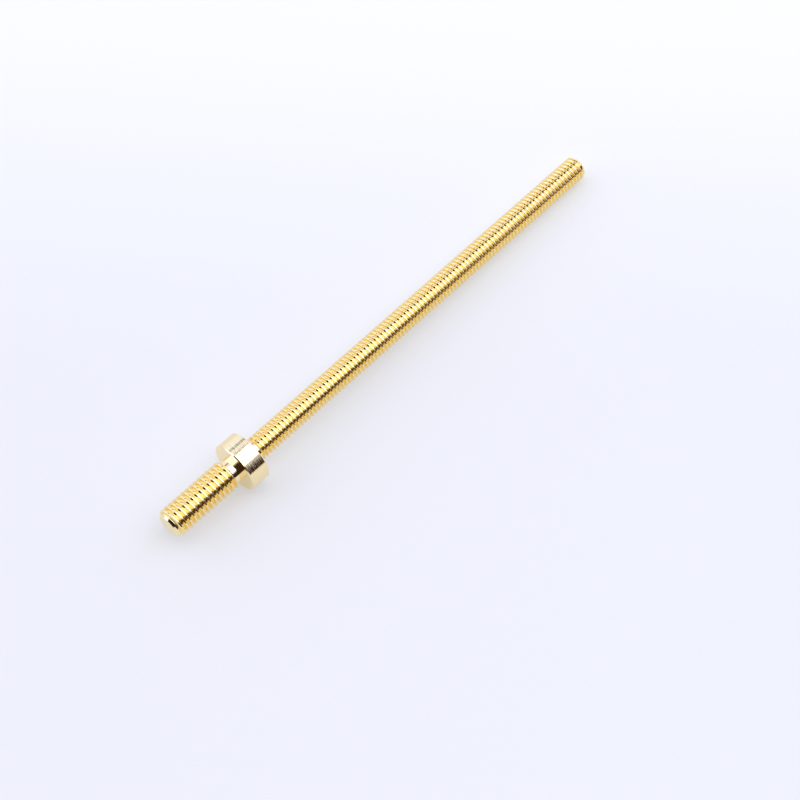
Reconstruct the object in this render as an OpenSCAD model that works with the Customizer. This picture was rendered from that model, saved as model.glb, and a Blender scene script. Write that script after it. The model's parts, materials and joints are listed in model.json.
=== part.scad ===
// Double end stud, turned from one bar: a short thick threaded end and a long thin one, with a round
// collar between them. It lies as it comes to rest, on the collar's rim and on the long end's last crest.
// +X runs along the stud towards the long tip, +Z is up, and the origin is on the floor under its middle.

/* [Collar] */
// Outside diameter of the collar
collar_d = 8; // [6.5:0.1:14]
// Thickness of the collar, face to face
collar_t = 3.2; // [1.5:0.1:8]
// Size of the edge break on both rims of the collar
collar_edge = 0.15; // [0.05:0.05:0.5]

/* [Short end] */
// Length of the short end, from the collar's face to its tip
short_len = 12.9; // [6:0.1:30]
// Diameter over the crests of the short thread
short_major_d = 4.8; // [4.3:0.1:5.8]
// Distance between crests of the short thread
short_pitch = 0.8; // [0.5:0.05:1.25]
// Diameter of the plain neck between the short thread and the collar
short_neck_d = 4; // [3:0.1:4.2]
// Length of the plain neck between the short thread and the collar
short_neck_len = 1.3; // [0.5:0.1:3]
// Diameter of the flat face at the short tip
short_tip_d = 3.5; // [2:0.1:4.2]

/* [Long end] */
// Length of the long end, from the collar's face to its tip
long_len = 70; // [20:1:150]
// Diameter over the crests of the long thread
long_major_d = 3.8; // [3.5:0.1:5.8]
// Distance between crests of the long thread
long_pitch = 0.7; // [0.45:0.05:1]
// Diameter of the plain neck between the long thread and the collar
long_neck_d = 3.3; // [2.4:0.1:3.4]
// Length of the plain neck between the long thread and the collar
long_neck_len = 1; // [0.5:0.1:3]
// Diameter of the flat face at the long tip
long_tip_d = 2.7; // [1.5:0.1:3.4]

/* [Thread form] */
// Angle between the two flanks of a thread groove
flank_angle = 60; // [50:1:70]
// Width of the flat crest as a share of the pitch
crest_share = 0.3; // [0.15:0.01:0.4]
// Width of the flat root as a share of the pitch
root_share = 0.14; // [0.05:0.01:0.3]
// Angle of the chamfered tips, measured from the axis
tip_angle = 45; // [30:1:60]

/* [Hidden] */
$fn = 96;
gold = [0.93, 0.77, 0.38];

flank_slope = tan(flank_angle / 2);
overcut = 0.5; // how far the groove shapes reach past the crests they are cut from
seam_turn = 8.25; // where the section starts its turn about the axis, in degrees from straight down

// Radial depth of a thread groove
function groove_depth(pitch) = pitch * (1 - crest_share - root_share) / 2 / flank_slope;

// Axial length of the chamfer that brings a crest diameter down to a tip's flat face
function chamfer_len(major_d, tip_d) = (major_d - tip_d) / 2 / tan(tip_angle);

// Distance from the collar's face to the first full crest, past the neck and its sloping end
function first_crest(major_d, neck_d, neck_len) = neck_len + (major_d - neck_d) / 2 * flank_slope;

// Distance from the collar's face to the edge of the last full crest, which the chamfer may cut short
function last_crest(len, major_d, neck_d, neck_len, tip_d, pitch) =
    let (
        start = first_crest(major_d, neck_d, neck_len),
        end = len - chamfer_len(major_d, tip_d),
        ridge = start + floor((end - start) / pitch) * pitch
    ) min(end, ridge + crest_share * pitch);

// Where the stud touches the floor, as distances along its axis from the collar's long face
long_touch = last_crest(long_len, long_major_d, long_neck_d, long_neck_len, long_tip_d, long_pitch);
collar_touch = -collar_edge;
rest_tilt = atan((collar_d - long_major_d) / 2 / (long_touch - collar_touch));
axis_h = collar_d / 2 * cos(rest_tilt) + collar_touch * sin(rest_tilt);

// The stud's two ends along the floor, seen from the collar's long face
long_reach = long_len * cos(rest_tilt) + long_tip_d / 2 * sin(rest_tilt);
short_reach = (collar_t + short_len) * cos(rest_tilt) + short_tip_d / 2 * sin(rest_tilt);

// Outline of one end before its thread is cut: radius against distance from the collar's face
function end_outline(len, major_d, neck_d, neck_len, tip_d) = [
    [neck_d / 2, 0],
    [neck_d / 2, neck_len],
    [major_d / 2, first_crest(major_d, neck_d, neck_len)],
    [major_d / 2, len - chamfer_len(major_d, tip_d)],
    [tip_d / 2, len],
    [0, len]
];

// Outline of the collar from its short face to its long face, with both rims broken
function collar_outline() = [
    [collar_d / 2 - collar_edge, -collar_t],
    [collar_d / 2, collar_edge - collar_t],
    [collar_d / 2, -collar_edge],
    [collar_d / 2 - collar_edge, 0]
];

// Half section of the whole blank, from the short tip to the long tip
module blank_section() {
    short = end_outline(short_len, short_major_d, short_neck_d, short_neck_len, short_tip_d);
    long = end_outline(long_len, long_major_d, long_neck_d, long_neck_len, long_tip_d);
    short_from_tip = [for (i = [len(short) - 1:-1:0]) [short[i][0], -collar_t - short[i][1]]];
    polygon(concat(short_from_tip, collar_outline(), long));
}

// Sections of the grooves between the crests of one thread, from the neck to the tip
module thread_grooves(len, major_d, neck_d, neck_len, pitch) {
    start = first_crest(major_d, neck_d, neck_len) + crest_share * pitch;
    root_r = major_d / 2 - groove_depth(pitch);
    mouth = pitch * (1 - crest_share);
    spread = overcut * flank_slope;
    for (s = [start:pitch:len])
        translate([0, s])
            polygon([
                [root_r, (mouth - root_share * pitch) / 2],
                [major_d / 2 + overcut, -spread],
                [major_d / 2 + overcut, mouth + spread],
                [root_r, (mouth + root_share * pitch) / 2]
            ]);
}

// Half section of the finished stud, with both threads cut into the blank
module stud_section() {
    difference() {
        blank_section();
        thread_grooves(long_len, long_major_d, long_neck_d, long_neck_len, long_pitch);
        translate([0, -collar_t])
            mirror([0, 1])
                thread_grooves(short_len, short_major_d, short_neck_d, short_neck_len, short_pitch);
    }
}

// The stud: one revolved section, with the thread drawn as closed ridges at its true pitch and form
module double_end_stud() {
    color(gold)
        translate([(short_reach - long_reach) / 2, 0, axis_h])
            rotate([0, 90 + rest_tilt, 0])
                rotate([0, 0, seam_turn])
                    rotate_extrude()
                        stud_section();
}

double_end_stud();
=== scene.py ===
"""Looks of a double end stud: a rod turned from brass, threaded at both ends and plated with gold.

The stud is one closed surface, worked out as radius against distance along its axis and turn about it.
Sizes are millimetres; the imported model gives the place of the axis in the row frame, in metres.
"""
import json
import logging
import math
from dataclasses import dataclass, field
from enum import Enum
from typing import Any

import bpy
import numpy as np
import numpy.typing as npt
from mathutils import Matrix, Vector


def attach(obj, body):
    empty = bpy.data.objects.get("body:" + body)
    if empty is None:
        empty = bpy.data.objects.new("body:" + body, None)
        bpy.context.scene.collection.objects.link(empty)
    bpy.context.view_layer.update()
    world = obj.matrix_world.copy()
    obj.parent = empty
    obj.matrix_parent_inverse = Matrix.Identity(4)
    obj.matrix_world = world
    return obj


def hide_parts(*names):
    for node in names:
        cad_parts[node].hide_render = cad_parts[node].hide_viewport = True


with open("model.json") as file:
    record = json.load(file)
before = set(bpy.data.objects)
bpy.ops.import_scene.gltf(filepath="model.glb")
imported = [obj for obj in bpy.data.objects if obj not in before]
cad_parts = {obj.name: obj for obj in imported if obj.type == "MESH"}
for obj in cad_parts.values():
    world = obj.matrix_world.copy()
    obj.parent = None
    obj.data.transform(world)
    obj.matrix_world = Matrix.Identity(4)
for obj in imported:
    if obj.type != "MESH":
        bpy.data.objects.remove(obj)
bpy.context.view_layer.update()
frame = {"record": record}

Array = npt.NDArray[np.float64]
Indices = npt.NDArray[np.int64]
Colour = tuple[float, float, float]
Socket = bpy.types.NodeSocket

MM = 0.001
UP = Vector((0.0, 0.0, 1.0))
WHITE: Colour = (1.0, 1.0, 1.0)
log = logging.getLogger("double_end_stud")


class Way(Enum):
    """Which tip a threaded end runs towards, as the sign of its direction along the stud's axis."""

    LONG_TIP = 1
    SHORT_TIP = -1


def smooth_step(value: Array) -> Array:
    """Rises from 0 to 1 between the values 0 and 1, level at both ends: three squares less two cubes."""
    share = np.clip(value, 0.0, 1.0)
    return share * share * (3.0 - 2.0 * share)


def rounded_corner(before: Array, corner: Array, after: Array, steps: int) -> Array:
    """Points on a round that takes the place of a corner.

    Formula: the parabola that starts along the line from before to corner and ends along the line from
    corner to after, at equal steps of its parameter.

    Args:
        before: Where the round starts.
        corner: The sharp corner that it takes the place of.
        after: Where the round ends.
        steps: Number of straight steps along it.

    Returns:
        One point a row, both ends included.
    """
    t = np.linspace(0.0, 1.0, steps + 1)[:, None]
    return (1.0 - t) ** 2 * before + 2.0 * t * (1.0 - t) * corner + t**2 * after


@dataclass(frozen=True)
class StudAxis:
    """Place of the stud: the centre of the collar's long face, and three directions square to each other."""

    origin: Array
    along: Array
    up: Array
    side: Array

    @classmethod
    def from_record(cls, record: dict[str, Any]) -> "StudAxis":
        """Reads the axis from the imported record's mounts.

        Args:
            record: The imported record, with the long thread and the collar's long face among its mounts.

        Returns:
            The axis, with its side direction turned a right-hand quarter about it from up.
        """
        mounts = {mount["name"]: mount for mount in record["mounts"]}
        along = np.array(mounts["long_thread"]["axis"], dtype=float)
        along /= np.linalg.norm(along)
        point = np.array(mounts["long_thread"]["pos_m"], dtype=float)
        face = np.array(mounts["collar_long_face"]["pos_m"], dtype=float)
        level = np.array([0.0, 0.0, 1.0])
        up = level - (level @ along) * along
        up /= np.linalg.norm(up)
        return cls(point + ((face - point) @ along) * along, along, up, np.cross(along, up))

    def place(self, distance: Array, radius: Array, turn: Array) -> Array:
        """Points in the row frame, in metres.

        Formula: the origin, plus distance along the axis, plus radius times the direction that is turned
        about the axis from straight up.

        Args:
            distance: Millimetres along the axis from the collar's long face, towards the long tip.
            radius: Millimetres from the axis.
            turn: Radians about the axis from straight up, right-handed.

        Returns:
            One point a row.
        """
        out = np.cos(turn)[:, None] * self.up + np.sin(turn)[:, None] * self.side
        return self.origin + MM * (distance[:, None] * self.along + radius[:, None] * out)


@dataclass(frozen=True)
class ThreadForm:
    """Profile of a thread across one pitch: a flat crest, two straight flanks and a round root.

    The shares are parts of the pitch, and corner_steps is the number of straight steps on each round.
    """

    major_d: float
    pitch: float
    flank_angle: float = 60.0
    crest_share: float = 0.3
    root_share: float = 0.14
    crest_round_share: float = 0.06
    corner_steps: int = 2

    @property
    def half_flank(self) -> float:
        """Half the angle between the flanks, in radians."""
        return math.radians(self.flank_angle / 2.0)

    @property
    def depth(self) -> float:
        """Depth of the groove: the axial run of a flank over the slope of the flank."""
        run = self.pitch * (1.0 - self.crest_share - self.root_share) / 2.0
        return run / math.tan(self.half_flank)

    def stations(self) -> tuple[Array, Array]:
        """Where the rows lie across one pitch, from the middle of a crest.

        Formula: from the crest's middle to the root's middle the profile is a round at the crest's edge, a
        straight flank, and a round that takes up half of the root; the other half pitch is its mirror image.

        Returns:
            Distances from the crest's middle, and the depth below the crest at each.
        """
        flank = np.array([math.sin(self.half_flank), math.cos(self.half_flank)])
        level = np.array([1.0, 0.0])
        crest_edge = np.array([self.crest_share * self.pitch / 2.0, 0.0])
        root_edge = np.array([self.pitch * (1.0 - self.root_share) / 2.0, self.depth])
        crest_round = self.crest_round_share * self.pitch
        root_round = self.root_share * self.pitch / 2.0
        over_crest = rounded_corner(
            crest_edge - crest_round * level, crest_edge, crest_edge + crest_round * flank, self.corner_steps
        )
        into_root = rounded_corner(
            root_edge - root_round * flank, root_edge, root_edge + root_round * level, self.corner_steps
        )
        down = np.vstack([over_crest, into_root])
        climb = down[-2::-1]
        where = np.concatenate([down[:, 0], self.pitch - climb[:, 0]])
        return where, np.concatenate([down[:, 1], climb[:, 1]])


@dataclass(frozen=True)
class ThreadedEnd:
    """One threaded end of the stud, from the neck's end at the collar to the tip.

    start_share moves the thread along the axis, and run_out_share is the length over which its groove fades
    out at the neck, both in pitches. crest_bounce_tint is how much of the painted groove tint, a deeper gold
    that stands in for light bounced between the flanks, the crests take on.
    """

    way: Way
    length: float
    neck_d: float
    neck_len: float
    tip_d: float
    form: ThreadForm
    start_share: float = 0.0
    tip_angle: float = 45.0
    run_out_share: float = 0.2
    crest_bounce_tint: float = 0.2

    @property
    def first_crest(self) -> float:
        """Distance from the collar's face to the first full crest, past the neck's sloping end."""
        return self.neck_len + (self.form.major_d - self.neck_d) / 2.0 * math.tan(self.form.half_flank)

    def rows(self, turn: Array) -> tuple[Array, Array, Array]:
        """The thread's surface, on rows that follow the helix and columns round the axis.

        Formula: a row lies at its station across the pitch, moved to where the thread starts, and goes one
        pitch along the axis for each right-hand turn. It is held between the neck's end and the tip. The
        radius is the least of three: the crest less the groove, which fades out at the neck; the cone at the
        neck's end, as steep as a flank; and the cone of the chamfered tip. The groove share, which sets a
        painted deeper gold that stands in for light bounced between the flanks, rises with the station's
        depth, from the tint of the crests to 1, and is 0 on the neck's end and on the chamfer.

        Args:
            turn: Turn of each column, in radians from straight up.

        Returns:
            Distance from the collar's face, radius and groove share, each rows by columns.
        """
        where, depth = self.form.stations()
        pitch = self.form.pitch
        turns = np.arange(-2, math.ceil(self.length / pitch) + 2)
        start = self.first_crest + self.form.crest_share * pitch / 2.0
        station = (start + pitch * turns[:, None] + where).ravel()
        groove = np.tile(depth, len(turns))[:, None]
        advance = pitch * (self.start_share + self.way.value * (turn - math.pi) / (2.0 * math.pi))
        reach = np.clip(station[:, None] + advance, self.neck_len, self.length)
        fade = smooth_step((reach - self.first_crest) / (self.run_out_share * pitch))
        crest = self.form.major_d / 2.0 - groove * fade
        neck = self.neck_d / 2.0 + (reach - self.neck_len) / math.tan(self.form.half_flank)
        tip = self.tip_d / 2.0 + (self.length - reach) * math.tan(math.radians(self.tip_angle))
        radius = np.minimum(np.minimum(crest, neck), tip)
        # Share of the painted deeper gold, which stands in for light bounced between the flanks
        tint = self.crest_bounce_tint + (1.0 - self.crest_bounce_tint) * groove / self.form.depth
        plain = (reach <= self.neck_len) | (radius >= tip)
        return reach, radius, np.where(plain, 0.0, tint)


@dataclass(frozen=True)
class Collar:
    """The round collar between the two ends, with a small chamfer on both rims."""

    diameter: float = 8.0
    thickness: float = 3.2
    edge: float = 0.15

    def outline(self) -> Array:
        """Half section over both rims.

        Returns:
            Distance along the axis and radius of each corner, from the short face to the long face.
        """
        rim = self.diameter / 2.0
        return np.array([
            [-self.thickness, rim - self.edge],
            [self.edge - self.thickness, rim],
            [-self.edge, rim],
            [0.0, rim - self.edge],
        ])

    def side_share(self, radius: Array) -> Array:
        """1 on the collar's side, 0 on its faces and everywhere else on the stud."""
        return smooth_step((radius - self.diameter / 2.0 + self.edge) / self.edge)


class Board:
    """A node tree with short calls that add nodes and join them."""

    def __init__(self, tree: bpy.types.NodeTree) -> None:
        """Takes over the tree and clears it."""
        self.tree = tree
        tree.nodes.clear()

    def add(self, kind: str, sockets: dict[int | str, Any] | None = None, **settings: Any) -> bpy.types.Node:
        """Adds a node.

        Args:
            kind: Name of the node's type.
            sockets: For each input, a value or the output that feeds it.
            **settings: The node's own settings.

        Returns:
            The new node.
        """
        node = self.tree.nodes.new(kind)
        for name, value in settings.items():
            setattr(node, name, value)
        for name, value in (sockets or {}).items():
            if isinstance(value, Socket):
                self.tree.links.new(value, node.inputs[name])
            else:
                node.inputs[name].default_value = value
        return node

    def math(self, operation: str, *values: Any) -> Socket:
        """Result of a Math node on values or outputs."""
        return self.add("ShaderNodeMath", dict(enumerate(values)), operation=operation).outputs[0]

    def vector(self, operation: str, first: Any, second: Any, output: str = "Vector") -> Socket:
        """Result of a Vector Math node on two vectors."""
        return self.add("ShaderNodeVectorMath", {0: first, 1: second}, operation=operation).outputs[output]

    def ramp(self, value: Any, low: Any, high: Any, start: Any = 0.0, end: Any = 1.0) -> Socket:
        """Value carried from low and high to start and end, with a smooth rise between them."""
        sockets = {"Value": value, "From Min": low, "From Max": high, "To Min": start, "To Max": end}
        return self.add("ShaderNodeMapRange", sockets, interpolation_type="SMOOTHSTEP").outputs["Result"]

    def mix(self, share: Any, first: Any, second: Any) -> Socket:
        """Colour between two colours."""
        return self.add("ShaderNodeMix", {0: share, 6: first, 7: second}, data_type="RGBA").outputs[2]

    def line_noise(self, where: Any, scale: float, detail: float, roughness: float) -> Socket:
        """Noise along one line."""
        sockets = {"W": where, "Scale": scale, "Detail": detail, "Roughness": roughness}
        return self.add("ShaderNodeTexNoise", sockets, noise_dimensions="1D").outputs[0]

    def cloud_noise(self, point: Any, scale: float, detail: float) -> Socket:
        """Noise in space."""
        sockets = {"Vector": point, "Scale": scale, "Detail": detail}
        return self.add("ShaderNodeTexNoise", sockets, noise_dimensions="3D").outputs[0]


def opaque(colour: Colour) -> tuple[float, float, float, float]:
    """The colour with full alpha."""
    return (*colour, 1.0)


@dataclass(frozen=True)
class GoldPlate:
    """Bright gold plate on turned brass: near a mirror, with fine rings from the lathe under the plate.

    Scales are noise cells to the metre and ring_height is metres. mark_share is how many times deeper than
    the rings the turning marks on the collar's side are. The grooves are painted a deeper gold, standing in
    for light bounced between the flanks, in full from tint_depth down, and where the cloud is thin at least
    tint_least of it.
    """

    colour: Colour = (0.97, 0.81, 0.475)
    # Painted light: a deeper gold for the grooves, standing in for light bounced between the flanks
    painted_bounce_colour: Colour = (0.95, 0.715, 0.255)
    tint_depth: float = 0.4
    tint_least: float = 0.8
    roughness: float = 0.07
    rougher: float = 0.13
    rough_range: tuple[float, float] = (0.15, 0.5)
    ring_scale: float = 26000.0
    ring_height: float = 0.000001
    mark_scale: float = 9000.0
    mark_share: float = 19.0
    cloud_scale: float = 900.0
    cloud_range: tuple[float, float] = (0.3, 0.7)

    def place_of(self, board: Board, point: Socket, axis: StudAxis) -> tuple[Socket, Socket]:
        """Where a point lies on the stud.

        Args:
            board: The finish's nodes.
            point: The point, in the row frame.
            axis: Place of the stud.

        Returns:
            Distance along the axis, and distance from it.
        """
        along = tuple(axis.along)
        offset = board.vector("SUBTRACT", point, tuple(axis.origin))
        distance = board.vector("DOT_PRODUCT", offset, along, "Value")
        foot = board.add("ShaderNodeVectorMath", {0: along, "Scale": distance}, operation="SCALE")
        beside = board.vector("SUBTRACT", offset, foot.outputs["Vector"])
        radius = board.add("ShaderNodeVectorMath", {0: beside}, operation="LENGTH")
        return distance, radius.outputs["Value"]

    def material(self, axis: StudAxis) -> bpy.types.Material:
        """Builds the finish.

        Formula: rings are noise along one line, the distance along the axis plus the distance from it, so
        that they run round the sides and in circles on the faces. They are pressed in as bump and as a
        change of roughness, which a slow cloud varies. Coarser marks run round the collar's side only. The
        colour goes from the plate's to a painted deeper gold with the piece's own groove share: painted light
        that stands in for light bounced between the thread's flanks, made patchy by the cloud.

        Args:
            axis: Place of the stud.

        Returns:
            The material.
        """
        material = bpy.data.materials.new("gold_plate")
        material.use_nodes = True
        board = Board(material.node_tree)
        point = board.add("ShaderNodeTexCoord").outputs["Object"]
        distance, radius = self.place_of(board, point, axis)
        line = board.math("ADD", distance, radius)
        rings = board.line_noise(line, self.ring_scale, detail=3.0, roughness=0.6)
        marks = board.line_noise(distance, self.mark_scale, detail=1.0, roughness=0.5)
        cloud = board.cloud_noise(point, self.cloud_scale, detail=4.0)
        groove = board.add("ShaderNodeAttribute", attribute_name="groove").outputs["Fac"]
        turned = board.add("ShaderNodeAttribute", attribute_name="turned").outputs["Fac"]
        # The cloud makes the painted groove gold patchy, down to tint_least of it where the cloud is thin
        thickness = board.ramp(cloud, *self.cloud_range, self.tint_least, 1.0)
        tint = board.math("MULTIPLY", board.ramp(groove, 0.0, self.tint_depth), thickness)
        colour = board.mix(tint, opaque(self.colour), opaque(self.painted_bounce_colour))
        wear = board.math("MULTIPLY", rings, cloud)
        rough = board.ramp(wear, *self.rough_range, self.roughness, self.rougher)
        pressed = board.math("MULTIPLY", board.math("SUBTRACT", marks, 0.5), turned)
        height = board.math("MULTIPLY_ADD", pressed, self.mark_share, rings)
        bump = board.add("ShaderNodeBump", {"Height": height, "Distance": self.ring_height, "Strength": 1.0})
        shader = board.add(
            "ShaderNodeBsdfPrincipled",
            {"Base Color": colour, "Metallic": 1.0, "Roughness": rough, "Normal": bump.outputs["Normal"]},
        )
        board.add("ShaderNodeOutputMaterial", {"Surface": shader.outputs[0]})
        return material


@dataclass(frozen=True)
class PaleFloor:
    """Smooth pale paper, a little cool.

    back_start and back_end are metres away from the camera, between which the colour pales to back_colour:
    painted light, standing in for the brighter light at the back.
    fleck is the shade of the grain, and glow the share of the floor's look that no shadow reaches.
    """

    colour: Colour = (0.862, 0.866, 0.78)
    back_colour: Colour = (0.975, 0.98, 0.86)
    glow: float = 0.52
    glow_tint: Colour = (1.0, 0.98, 1.06)
    back_start: float = -0.01
    back_end: float = 0.075
    fleck: float = 0.992
    fleck_scale: float = 2500.0
    fleck_range: tuple[float, float] = (0.35, 0.65)
    roughness: float = 0.9

    def material(self, back: Vector) -> bpy.types.Material:
        """Builds the finish: a colour painted paler away from the camera, standing in for the brighter light
        at the back, with a fine grain and no gloss.

        To the camera and in mirrors the floor is part paper and part an even glow of nearly the same
        colour, so that the shadow on it stays pale and a little mauve. The glow sheds no light.

        Args:
            back: Level direction away from the camera.

        Returns:
            The material.
        """
        material = bpy.data.materials.new("pale_floor")
        material.use_nodes = True
        board = Board(material.node_tree)
        point = board.add("ShaderNodeTexCoord").outputs["Object"]
        away = board.vector("DOT_PRODUCT", point, tuple(back), "Value")
        # Painted light: the floor pales towards the back, standing in for the brighter light there
        paler = board.ramp(away, self.back_start, self.back_end)
        plain = board.mix(paler, opaque(self.colour), opaque(self.back_colour))
        grain = board.cloud_noise(point, self.fleck_scale, detail=2.0)
        colour = board.vector("MULTIPLY", plain, board.ramp(grain, *self.fleck_range, self.fleck, 1.0))
        paper = board.add(
            "ShaderNodeBsdfPrincipled",
            {"Base Color": colour, "Roughness": self.roughness, "Specular IOR Level": 0.0},
        )
        path = board.add("ShaderNodeLightPath").outputs
        mirrored = board.math("MAXIMUM", path["Is Glossy Ray"], path["Is Transmission Ray"])
        shown = board.math("MAXIMUM", path["Is Camera Ray"], mirrored)
        tinted = board.vector("MULTIPLY", colour, self.glow_tint)
        glow = board.add("ShaderNodeEmission", {"Color": tinted, "Strength": 1.0})
        share = board.math("MULTIPLY", shown, self.glow)
        surface = board.add("ShaderNodeMixShader", {0: share, 1: paper.outputs[0], 2: glow.outputs[0]})
        board.add("ShaderNodeOutputMaterial", {"Surface": surface.outputs[0]})
        return material


@dataclass
class Stud:
    """The whole stud: a short thick end, the collar and a long thin end, as one surface.

    columns is the number of steps round the axis, and points closer than weld_step, in millimetres, are one.
    """

    axis: StudAxis
    collar: Collar = field(default_factory=Collar)
    short_end: ThreadedEnd = ThreadedEnd(
        Way.SHORT_TIP,
        length=12.9,
        neck_d=4.0,
        neck_len=1.3,
        tip_d=3.5,
        form=ThreadForm(major_d=4.8, pitch=0.8),
        start_share=0.55,
    )
    long_end: ThreadedEnd = ThreadedEnd(
        Way.LONG_TIP,
        length=70.0,
        neck_d=3.3,
        neck_len=1.0,
        tip_d=2.7,
        form=ThreadForm(major_d=3.8, pitch=0.7),
        start_share=0.17,
    )
    columns: int = 72
    finish: GoldPlate = GoldPlate()
    name: str = "double_end_stud_plated"
    weld_step: float = 0.00001

    def end_rows(self, end: ThreadedEnd, turn: Array) -> tuple[Array, Array, Array]:
        """An end's thread and the flat face of its tip, from the neck's end to the middle of the face.

        Args:
            end: The threaded end.
            turn: Turn of each column.

        Returns:
            Distance from the collar's face, radius and groove share, each rows by columns.
        """
        reach, radius, groove = end.rows(turn)
        half_way, middle = 0.5, 0.0
        face = np.array([[half_way], [middle]]) * end.tip_d / 2.0 * np.ones_like(turn)
        return (
            np.vstack([reach, np.full_like(face, end.length)]),
            np.vstack([radius, face]),
            np.vstack([groove, np.zeros_like(face)]),
        )

    def grid(self) -> tuple[Array, Array, Array, Array]:
        """The whole surface as one grid, from the middle of the short tip to the middle of the long tip.

        Formula: rows run along the axis and columns round it, half a step from straight up, so that no
        column reaches past the flats of the solid.

        Returns:
            Distance along the axis, radius, turn and groove share, each rows by columns; the last column
            lies on the first.
        """
        turn = (np.arange(self.columns + 1) + 0.5) * 2.0 * math.pi / self.columns
        short_reach, short_radius, short_groove = self.end_rows(self.short_end, turn)
        long_reach, long_radius, long_groove = self.end_rows(self.long_end, turn)
        outline = np.vstack([
            [-self.collar.thickness, self.short_end.neck_d / 2.0],
            self.collar.outline(),
            [0.0, self.long_end.neck_d / 2.0],
        ])
        ones = np.ones_like(turn)
        distance = np.vstack([
            -self.collar.thickness - short_reach[::-1], outline[:, :1] * ones, long_reach
        ])
        radius = np.vstack([short_radius[::-1], outline[:, 1:] * ones, long_radius])
        groove = np.vstack([short_groove[::-1], outline[:, :1] * 0.0 * ones, long_groove])
        return distance, radius, np.broadcast_to(turn, distance.shape), groove

    def sharp_rings(self) -> Array:
        """The rings where two faces meet at a corner.

        Returns:
            Distance and radius of each ring, from the short tip to the long tip.
        """
        face = -self.collar.thickness
        short, long = self.short_end, self.long_end
        return np.vstack([
            [face - short.length, short.tip_d / 2.0],
            [face - short.neck_len, short.neck_d / 2.0],
            [face, short.neck_d / 2.0],
            self.collar.outline(),
            [0.0, long.neck_d / 2.0],
            [long.neck_len, long.neck_d / 2.0],
            [long.length, long.tip_d / 2.0],
        ])

    def surface(self) -> tuple[Array, Array, Array, Indices]:
        """The grid as points and triangles.

        Points that share a place are welded by their distance, radius and column. Each cell of the grid is
        two triangles, and those that welding closed up are left out.

        Returns:
            Place of each vertex, its distance and radius, its groove share, and each triangle's vertices.
        """
        distance, radius, turn, groove = self.grid()
        rows, across = distance.shape
        column = np.broadcast_to(np.arange(across) % self.columns, distance.shape)
        column = np.where(radius < self.weld_step, 0, column)
        steps = (np.round(distance / self.weld_step), np.round(radius / self.weld_step), column)
        keys = np.stack(steps, axis=-1).reshape(-1, len(steps))
        _, kept, index = np.unique(keys, axis=0, return_index=True, return_inverse=True)
        cell = index.reshape(rows, across)
        a, b, c, d = cell[:-1, :-1], cell[:-1, 1:], cell[1:, 1:], cell[1:, :-1]
        faces = np.concatenate([np.stack([a, b, c], -1), np.stack([a, c, d], -1)]).reshape(-1, 3)
        closed_up = (faces == np.roll(faces, 1, axis=1)).any(axis=1)
        places = np.stack([distance.ravel()[kept], radius.ravel()[kept]], -1)
        points = self.axis.place(places[:, 0], places[:, 1], turn.ravel()[kept])
        return points, places, groove.ravel()[kept], faces[~closed_up]

    def build(self) -> bpy.types.Object:
        """Makes the stud's mesh and dresses it.

        Returns:
            The finished piece, riding on the part and standing for its solid.
        """
        points, places, groove, faces = self.surface()
        mesh = bpy.data.meshes.new(self.name)
        mesh.vertices.add(len(points))
        mesh.vertices.foreach_set("co", points.ravel())
        mesh.loops.add(faces.size)
        mesh.loops.foreach_set("vertex_index", faces.ravel())
        mesh.polygons.add(len(faces))
        mesh.polygons.foreach_set("loop_start", np.arange(0, faces.size, 3))
        mesh.update(calc_edges=True)
        mesh.validate()
        self.mark(mesh, places, groove)
        self.level_normals(mesh, points, faces, places)
        mesh.materials.append(self.finish.material(self.axis))
        piece = bpy.data.objects.new(self.name, mesh)
        bpy.context.scene.collection.objects.link(piece)
        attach(piece, "root")
        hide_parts("double_end_stud")
        return piece

    def mark(self, mesh: bpy.types.Mesh, places: Array, groove: Array) -> None:
        """Smooths the faces, marks the sharp rings, and stores what the finish reads at each point.

        The piece's own attributes are groove, the groove share that sets the painted deeper gold of the
        grooves, and turned, 1 on the collar's side.

        Args:
            mesh: The stud's mesh.
            places: Distance and radius of each vertex.
            groove: Groove share of each vertex.
        """
        mesh.polygons.foreach_set("use_smooth", np.ones(len(mesh.polygons), dtype=bool))
        ring = self.ring_of(places)
        ends = np.empty(2 * len(mesh.edges), dtype=np.int32)
        mesh.edges.foreach_get("vertices", ends)
        first, second = ring[ends[0::2]], ring[ends[1::2]]
        sharp = mesh.attributes.new("sharp_edge", "BOOLEAN", "EDGE")
        sharp.data.foreach_set("value", (first >= 0) & (first == second))
        depth = mesh.attributes.new("groove", "FLOAT", "POINT")
        depth.data.foreach_set("value", groove.astype(np.float32))
        turned = mesh.attributes.new("turned", "FLOAT", "POINT")
        turned.data.foreach_set("value", self.collar.side_share(places[:, 1]).astype(np.float32))

    def ring_of(self, places: Array) -> Indices:
        """Number of the sharp ring that each point lies on, or -1."""
        near = np.abs(places[:, None, :] - self.sharp_rings()).max(axis=-1) < 2.0 * self.weld_step
        return np.where(near.any(axis=1), near.argmax(axis=1), -1)

    def level_normals(self, mesh: bpy.types.Mesh, points: Array, faces: Indices, places: Array) -> None:
        """Gives each point the normal of its large faces, so that flanks and crests shade flat beside rounds.

        Formula: the faces' normals summed with the square of their area as weight. Points on a sharp ring
        keep one normal for each side.

        Args:
            mesh: The stud's mesh.
            points: Place of each vertex.
            faces: Vertices of each triangle.
            places: Distance and radius of each vertex.
        """
        a, b, c = (points[faces[:, corner]] / MM for corner in range(3))
        across = np.cross(b - a, c - a)
        weighed = across * np.linalg.norm(across, axis=1, keepdims=True)
        total = np.stack([
            np.bincount(faces.ravel(), np.repeat(weighed[:, part], 3), len(points)) for part in range(3)
        ], -1)
        total /= np.linalg.norm(total, axis=1, keepdims=True)
        total[self.ring_of(places) >= 0] = 0.0
        mesh.normals_split_custom_set(total[faces.ravel()])


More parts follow.
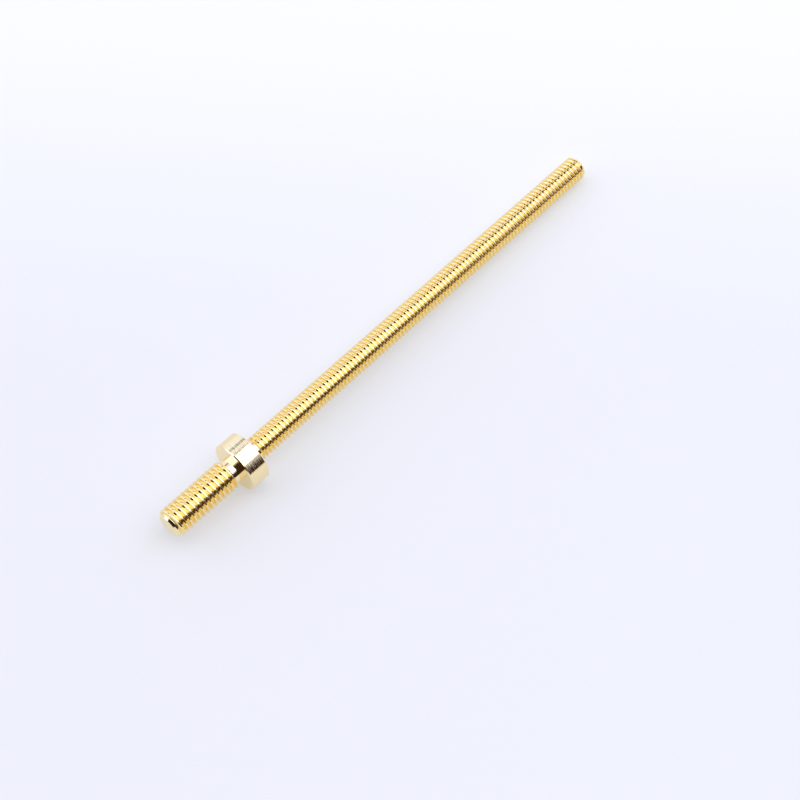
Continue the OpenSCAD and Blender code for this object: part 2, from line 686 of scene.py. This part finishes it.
@dataclass(frozen=True)
class SkyPanel:
    """A stretch of the studio's walls, in one colour of light.

    All its angles are degrees: the middle azimuth, half the width, the lowest and highest height over the
    horizon, and the width of the soft edge.
    """

    azimuth: float
    half_width: float
    low: float
    high: float
    colour: Colour
    soft: float = 3.0


@dataclass(frozen=True)
class Studio:
    """Floor, soft light and camera. Azimuths are degrees from the picture's right towards its back.

    The camera's place and aim are millimetres; nearest, the floor and the softbox's height are metres. The
    softbox's middle, length and width are parts of its height. The walls are dark where a direction leans
    towards dark_side, which is given as right, back and up.
    """

    camera_place: tuple[float, float, float] = (-117.423, -118.446, 316.399)
    camera_aim: tuple[float, float, float] = (-4.245, -7.918, 0.0)
    lens: float = 108.161
    sensor: float = 36.0
    nearest: float = 0.01
    floor_size: float = 6.0
    softbox_height: float = 0.6
    softbox_middle: tuple[float, float] = (0.337, -0.12)
    softbox_length: float = 1.18
    softbox_width: float = 0.72
    softbox_turn: float = -40.0
    softbox_level: float = 1.6
    softbox_colour: Colour = (0.99, 1.0, 1.05)
    walls: Colour = (0.99, 1.01, 1.3)
    dark_side: tuple[float, float, float] = (-0.194, -0.954, -0.227)
    dark_soft: float = 0.08
    dark: Colour = (0.035, 0.019, 0.011)
    panels: tuple[SkyPanel, ...] = (
        # Bright wall on the left, for the short neck and the collar's near rim
        SkyPanel(172.0, 30.0, -5.0, 75.0, (1.6, 1.7, 2.6), 5.0),
        # Cool back wall, for the upper flanks of the threads
        SkyPanel(92.0, 16.0, -5.0, 40.0, (1.0, 1.37, 2.1), 3.0),
        # Bright wall at the back right, for the flanks along the top of the threads
        SkyPanel(36.0, 27.0, 31.0, 64.0, (1.3, 1.5, 3.2), 4.0),
        # Dim strip, for the strokes high on the collar's side
        SkyPanel(112.0, 8.0, 34.0, 45.0, (0.27, 0.24, 0.1), 8.0),
        # Dark opening, for the dots between the crests
        SkyPanel(71.0, 14.0, 37.0, 61.0, (0.015, 0.01, 0.007)),
        # Dark wall on the right, for the dashes along the threads
        SkyPanel(3.0, 11.0, 3.0, 25.0, (0.035, 0.019, 0.011), 5.0),
        # Warm strip at the foot of the dark side
        SkyPanel(-35.0, 30.0, -3.0, 1.0, (0.75, 0.52, 0.25), 2.0),
    )
    floor: PaleFloor = PaleFloor()

    @property
    def right(self) -> Vector:
        """Level direction to the picture's right."""
        return self.back.cross(UP)

    @property
    def back(self) -> Vector:
        """Level direction away from the camera."""
        away = Vector(self.camera_aim) - Vector(self.camera_place)
        return Vector((away.x, away.y, 0.0)).normalized()

    def make_camera(self) -> None:
        """Sets the camera at the photograph's angle and frame."""
        data = bpy.data.cameras.new("camera")
        data.lens = self.lens
        data.sensor_width = self.sensor
        data.clip_start = self.nearest
        camera = bpy.data.objects.new("camera", data)
        place = Vector(self.camera_place) * MM
        aim = Vector(self.camera_aim) * MM
        camera.location = place
        camera.rotation_euler = (aim - place).to_track_quat("-Z", "Y").to_euler()
        bpy.context.scene.collection.objects.link(camera)
        bpy.context.scene.camera = camera

    def make_floor(self) -> bpy.types.Object:
        """Lays the floor under the stud.

        Returns:
            The floor, kept apart from the part.
        """
        half = self.floor_size / 2.0
        across, away = np.meshgrid(np.array([-half, half]), np.array([-half, half]))
        points = np.stack([across.ravel(), away.ravel(), np.zeros(4)], -1)
        mesh = bpy.data.meshes.new("floor")
        mesh.from_pydata(points.tolist(), [], [[0, 1, 3, 2]])
        mesh.materials.append(self.floor.material(self.back))
        floor = bpy.data.objects.new("floor", mesh)
        bpy.context.scene.collection.objects.link(floor)
        return floor

    def hang_softbox(self) -> None:
        """Hangs the softbox over the stud, level with the floor. Its power gives it one level all over."""
        height = self.softbox_height
        long, wide = height * self.softbox_length, height * self.softbox_width
        data = bpy.data.lights.new("softbox", "AREA")
        data.shape = "RECTANGLE"
        data.size, data.size_y = long, wide
        data.color = self.softbox_colour
        data.energy = self.softbox_level * math.pi * long * wide
        softbox = bpy.data.objects.new("softbox", data)
        middle = self.softbox_middle[0] * self.right + self.softbox_middle[1] * self.back
        softbox.location = height * (middle + UP)
        turn = math.atan2(self.right.y, self.right.x) + math.radians(self.softbox_turn)
        softbox.rotation_euler = (0.0, 0.0, turn)
        softbox.visible_camera = False
        bpy.context.scene.collection.objects.link(softbox)

    def paint_walls(self) -> None:
        """Paints the studio's walls on the world: white to the camera, and to the stud as they are.

        Formula: a direction is dark by how far it leans towards the dark side, with a soft change from pale
        walls. The panels are laid over both, in order.
        """
        world = bpy.data.worlds.new("studio")
        world.use_nodes = True
        bpy.context.scene.world = world
        board = Board(world.node_tree)
        look = board.add("ShaderNodeTexCoord").outputs["Generated"]
        rise = board.math("ARCSINE", board.vector("DOT_PRODUCT", look, tuple(UP), "Value"))
        front = self.dark_side[0] * self.right + self.dark_side[1] * self.back
        lean = board.vector("DOT_PRODUCT", look, (front.x, front.y, self.dark_side[2]), "Value")
        darkness = board.ramp(lean, -self.dark_soft, self.dark_soft)
        colour = board.mix(darkness, opaque(self.walls), opaque(self.dark))
        for panel in self.panels:
            colour = self.paint_panel(board, look, rise, colour, panel)
        shown = board.add("ShaderNodeLightPath").outputs["Is Camera Ray"]
        seen = board.mix(shown, colour, opaque(WHITE))
        background = board.add("ShaderNodeBackground", {"Color": seen, "Strength": 1.0})
        board.add("ShaderNodeOutputWorld", {"Surface": background.outputs[0]})

    def paint_panel(
        self, board: Board, look: Socket, rise: Socket, colour: Socket, panel: SkyPanel
    ) -> Socket:
        """Lays one panel over what is painted so far.

        Formula: the panel's share is the product of three that fade over its soft edge: within half its width
        of its azimuth, over its lowest height, and under its highest.

        Args:
            board: The world's nodes.
            look: Direction of the ray.
            rise: Height of the ray over the horizon, in radians.
            colour: Colour painted so far.
            panel: The panel.

        Returns:
            The colour with the panel on it.
        """
        azimuth, soft = math.radians(panel.azimuth), math.radians(panel.soft)
        ahead = math.cos(azimuth) * self.right + math.sin(azimuth) * self.back
        beside = ahead.cross(UP)
        turn = board.math(
            "ARCTAN2",
            board.vector("DOT_PRODUCT", look, tuple(beside), "Value"),
            board.vector("DOT_PRODUCT", look, tuple(ahead), "Value"),
        )
        half, low, high = (math.radians(value) for value in (panel.half_width, panel.low, panel.high))
        inside = board.ramp(board.math("ABSOLUTE", turn), half, half + soft, 1.0, 0.0)
        above = board.ramp(rise, low - soft / 2.0, low + soft / 2.0)
        below = board.ramp(rise, high - soft / 2.0, high + soft / 2.0, 1.0, 0.0)
        share = board.math("MULTIPLY", inside, board.math("MULTIPLY", above, below))
        return board.mix(share, colour, opaque(panel.colour))

    def build(self) -> bpy.types.Object:
        """Sets up the whole studio.

        Returns:
            The floor.
        """
        bpy.context.scene.view_settings.view_transform = "Standard"
        self.make_camera()
        self.hang_softbox()
        self.paint_walls()
        return self.make_floor()


def main() -> None:
    """Builds the stud and the studio round it."""
    logging.basicConfig(level=logging.INFO, format="%(name)s: %(message)s")
    stud = Stud(StudAxis.from_record(frame["record"])).build()
    log.info("%s: %d triangles", stud.name, len(stud.data.polygons))
    floor = Studio().build()
    log.info("%s: laid under the stud", floor.name)


if __name__ == "__main__":
    main()
